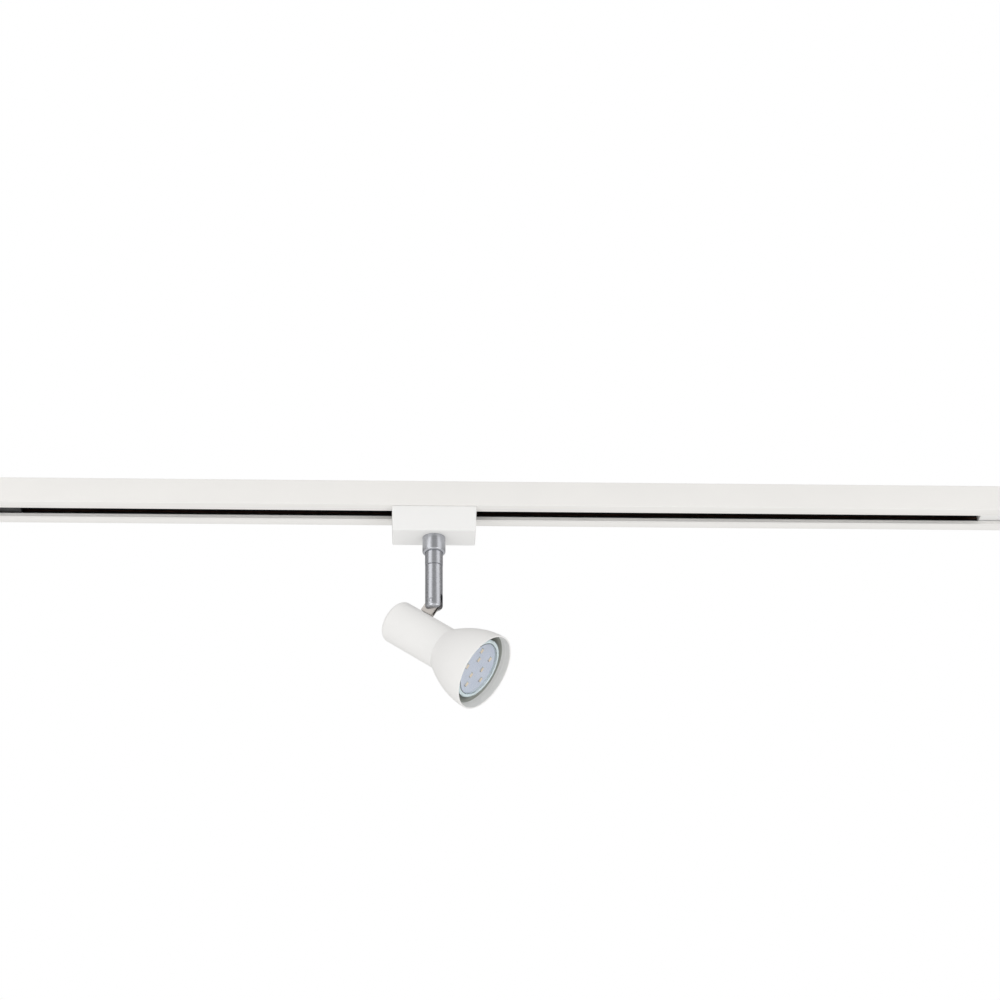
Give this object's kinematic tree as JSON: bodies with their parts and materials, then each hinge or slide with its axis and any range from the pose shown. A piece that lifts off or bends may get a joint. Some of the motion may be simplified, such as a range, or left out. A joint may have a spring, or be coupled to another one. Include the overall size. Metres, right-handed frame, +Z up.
{
  "type": "track spotlight",
  "caption": "Ceiling track with an adapter that slides along its slot, carrying a swivel stem and a tilting bell-shaped spotlight with an LED reflector lamp.",
  "frame": {"origin": "middle of the track's ceiling face", "axes": "+X along the track away from its feed, +Z up into the ceiling, so the spotlight hangs towards -Z; Y runs across the track"},
  "size_m": [0.93, 0.0751, 0.1959],
  "materials": {
    "white_coat_alu": "fine white powder coat on extruded aluminium",
    "white_coat_steel": "matt white powder coat on spun steel",
    "white_plastic": "fine-textured moulded white plastic",
    "black_plastic": "black insulating plastic",
    "satin_chrome": "satin chrome on turned steel",
    "nickel": "warm grey nickel plate",
    "zinc_steel": "zinc-plated steel",
    "copper": "bare drawn copper",
    "ceramic": "pale ceramic and heat-resistant moulding",
    "silicone": "silicone and glass-braid sleeve",
    "lamp_glass": "clear pressed glass with a pale blue-green edge",
    "board": "pale blue-white solder mask",
    "phosphor": "yellow phosphor in a white chip package"
  },
  "bodies": {
    "track": {"track_extrusion": "white_coat_alu", "track_insulator": "black_plastic", "live_conductor": "copper", "neutral_conductor": "copper", "earth_strip": "copper", "dead_end_cap": "white_plastic", "feed_housing": "white_plastic", "feed_cover": "white_plastic", "feed_cover_screw": "zinc_steel", "feed_plug": "black_plastic", "feed_terminal_block": "ceramic", "mains_grommet": "black_plastic"},
    "adapter": {"adapter_housing": "white_plastic", "adapter_lid": "white_plastic", "lid_screw_1": "zinc_steel", "lid_screw_2": "zinc_steel", "contact_head": "black_plastic", "live_contact": "copper", "neutral_contact": "copper", "earth_contact": "copper", "adapter_terminal_block": "ceramic", "threaded_nipple": "zinc_steel", "nipple_washer": "zinc_steel", "nipple_nut": "zinc_steel", "stem_collar": "satin_chrome", "upper_stem": "satin_chrome", "pan_stop_pin": "zinc_steel", "adapter_lead": "silicone"},
    "arm": {"lower_stem": "satin_chrome", "pan_stop_ring": "zinc_steel", "swivel_circlip": "zinc_steel", "tilt_pin": "zinc_steel", "stem_lead": "silicone"},
    "head": {"tilt_bracket": "nickel", "lamp_housing": "white_coat_steel", "holder_bridge": "zinc_steel", "bracket_screw_1": "zinc_steel", "bracket_screw_2": "zinc_steel", "lampholder": "ceramic", "holder_screw_1": "zinc_steel", "holder_screw_2": "zinc_steel", "head_lead": "silicone"},
    "lamp": {"lamp_shell": "lamp_glass", "lamp_base": "ceramic", "lamp_pin_1": "nickel", "lamp_pin_2": "nickel", "lamp_lens": "lamp_glass", "lamp_board": "board", "led_chip_1": "phosphor", "led_chip_2": "phosphor", "led_chip_3": "phosphor", "led_chip_4": "phosphor", "led_chip_5": "phosphor", "led_chip_6": "phosphor", "led_chip_7": "phosphor", "led_chip_8": "phosphor"}
  },
  "joints": [
    {"name": "track_slide", "type": "slide", "parent": "track", "child": "adapter", "axis": [1, 0, 0], "range_m": [-0.327, 0.448]},
    {"name": "stem_pan", "type": "hinge", "parent": "adapter", "child": "arm", "pos_m": [-0.019, 0, -0.0693], "axis": [0, 0, 1], "range_deg": [-141.8, 185.2]},
    {"name": "head_tilt", "type": "hinge", "parent": "arm", "child": "head", "pos_m": [-0.019, 0, -0.1024], "axis": [0.3697, 0.9291, 0], "range_deg": [-37.1, 52.9]},
    {"name": "lamp_twist", "type": "hinge", "parent": "head", "child": "lamp", "pos_m": [-0.03486, 0.00631, -0.12497], "axis": [0.7411, -0.2949, -0.6032], "range_deg": [0, 20]}
  ]
}
